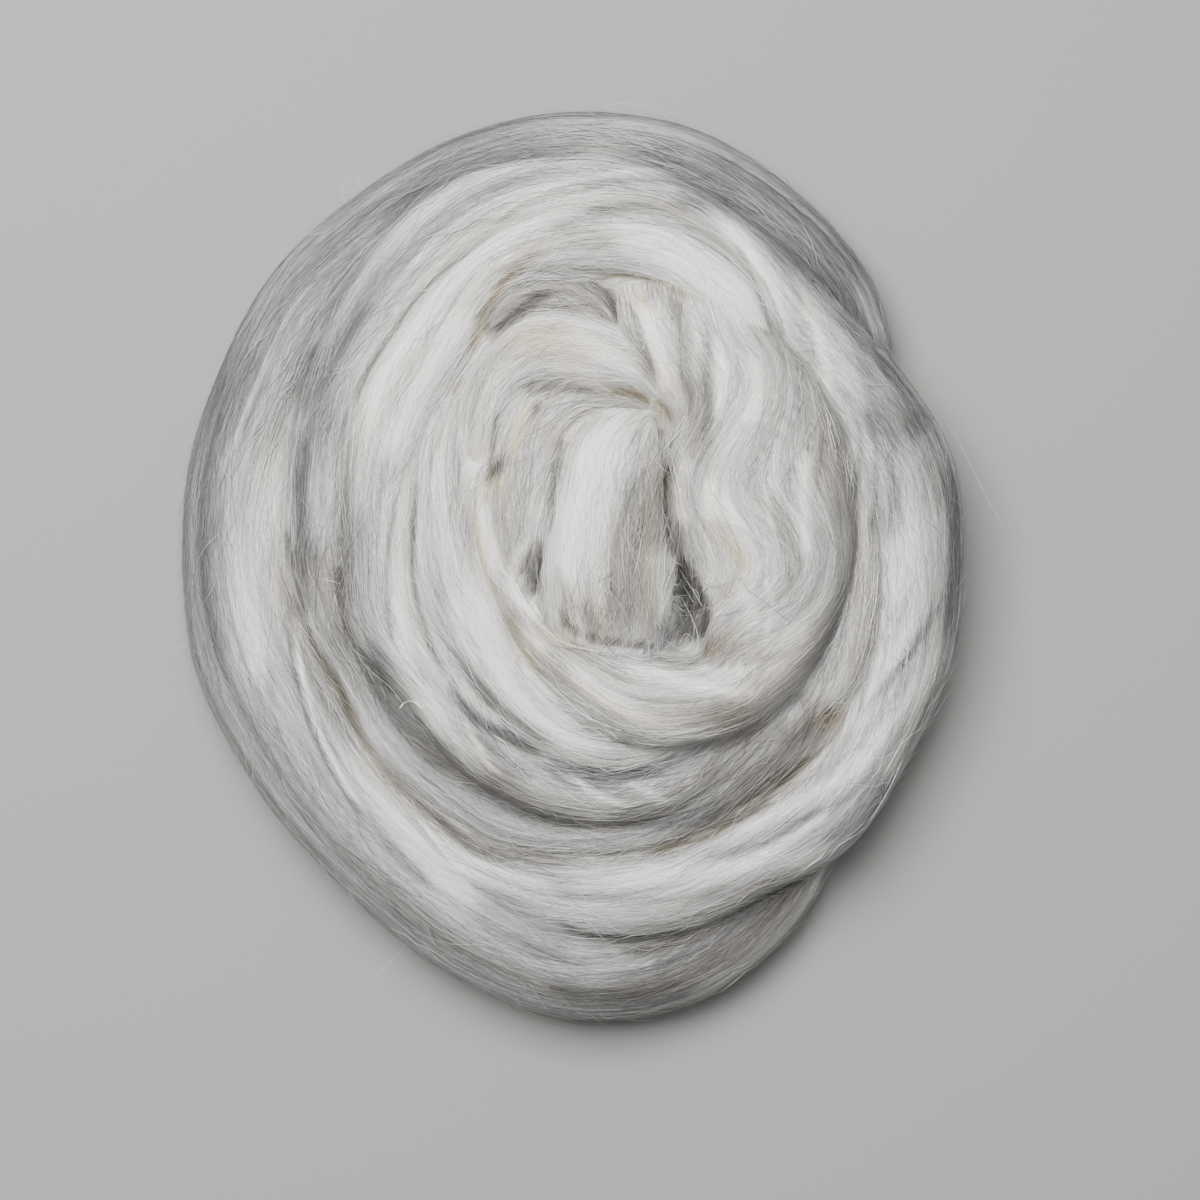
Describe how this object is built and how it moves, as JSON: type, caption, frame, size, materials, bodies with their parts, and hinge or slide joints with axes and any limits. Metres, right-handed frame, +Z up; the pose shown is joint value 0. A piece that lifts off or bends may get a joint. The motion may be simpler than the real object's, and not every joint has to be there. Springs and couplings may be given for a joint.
{
  "type": "wool roving nest",
  "caption": "Long soft rope of combed wool fibre, wound flat into a domed oval nest whose inner end is folded into soft lobes; rests on its flattened undersides.",
  "frame": {"origin": "middle of the nest's outline, at the height of the surface that it lies on", "axes": "+Z up out of the surface; +Y along the nest's longer way, towards the end where the second turn crosses on top; +X to the right seen from above"},
  "size_m": [0.2425, 0.2834, 0.0629],
  "materials": {
    "combed_wool": "undyed white and light grey wool fibres, combed straight, silky sheen along the fibre"
  },
  "bodies": {
    "root": {"roving": "combed_wool"}
  },
  "joints": []
}
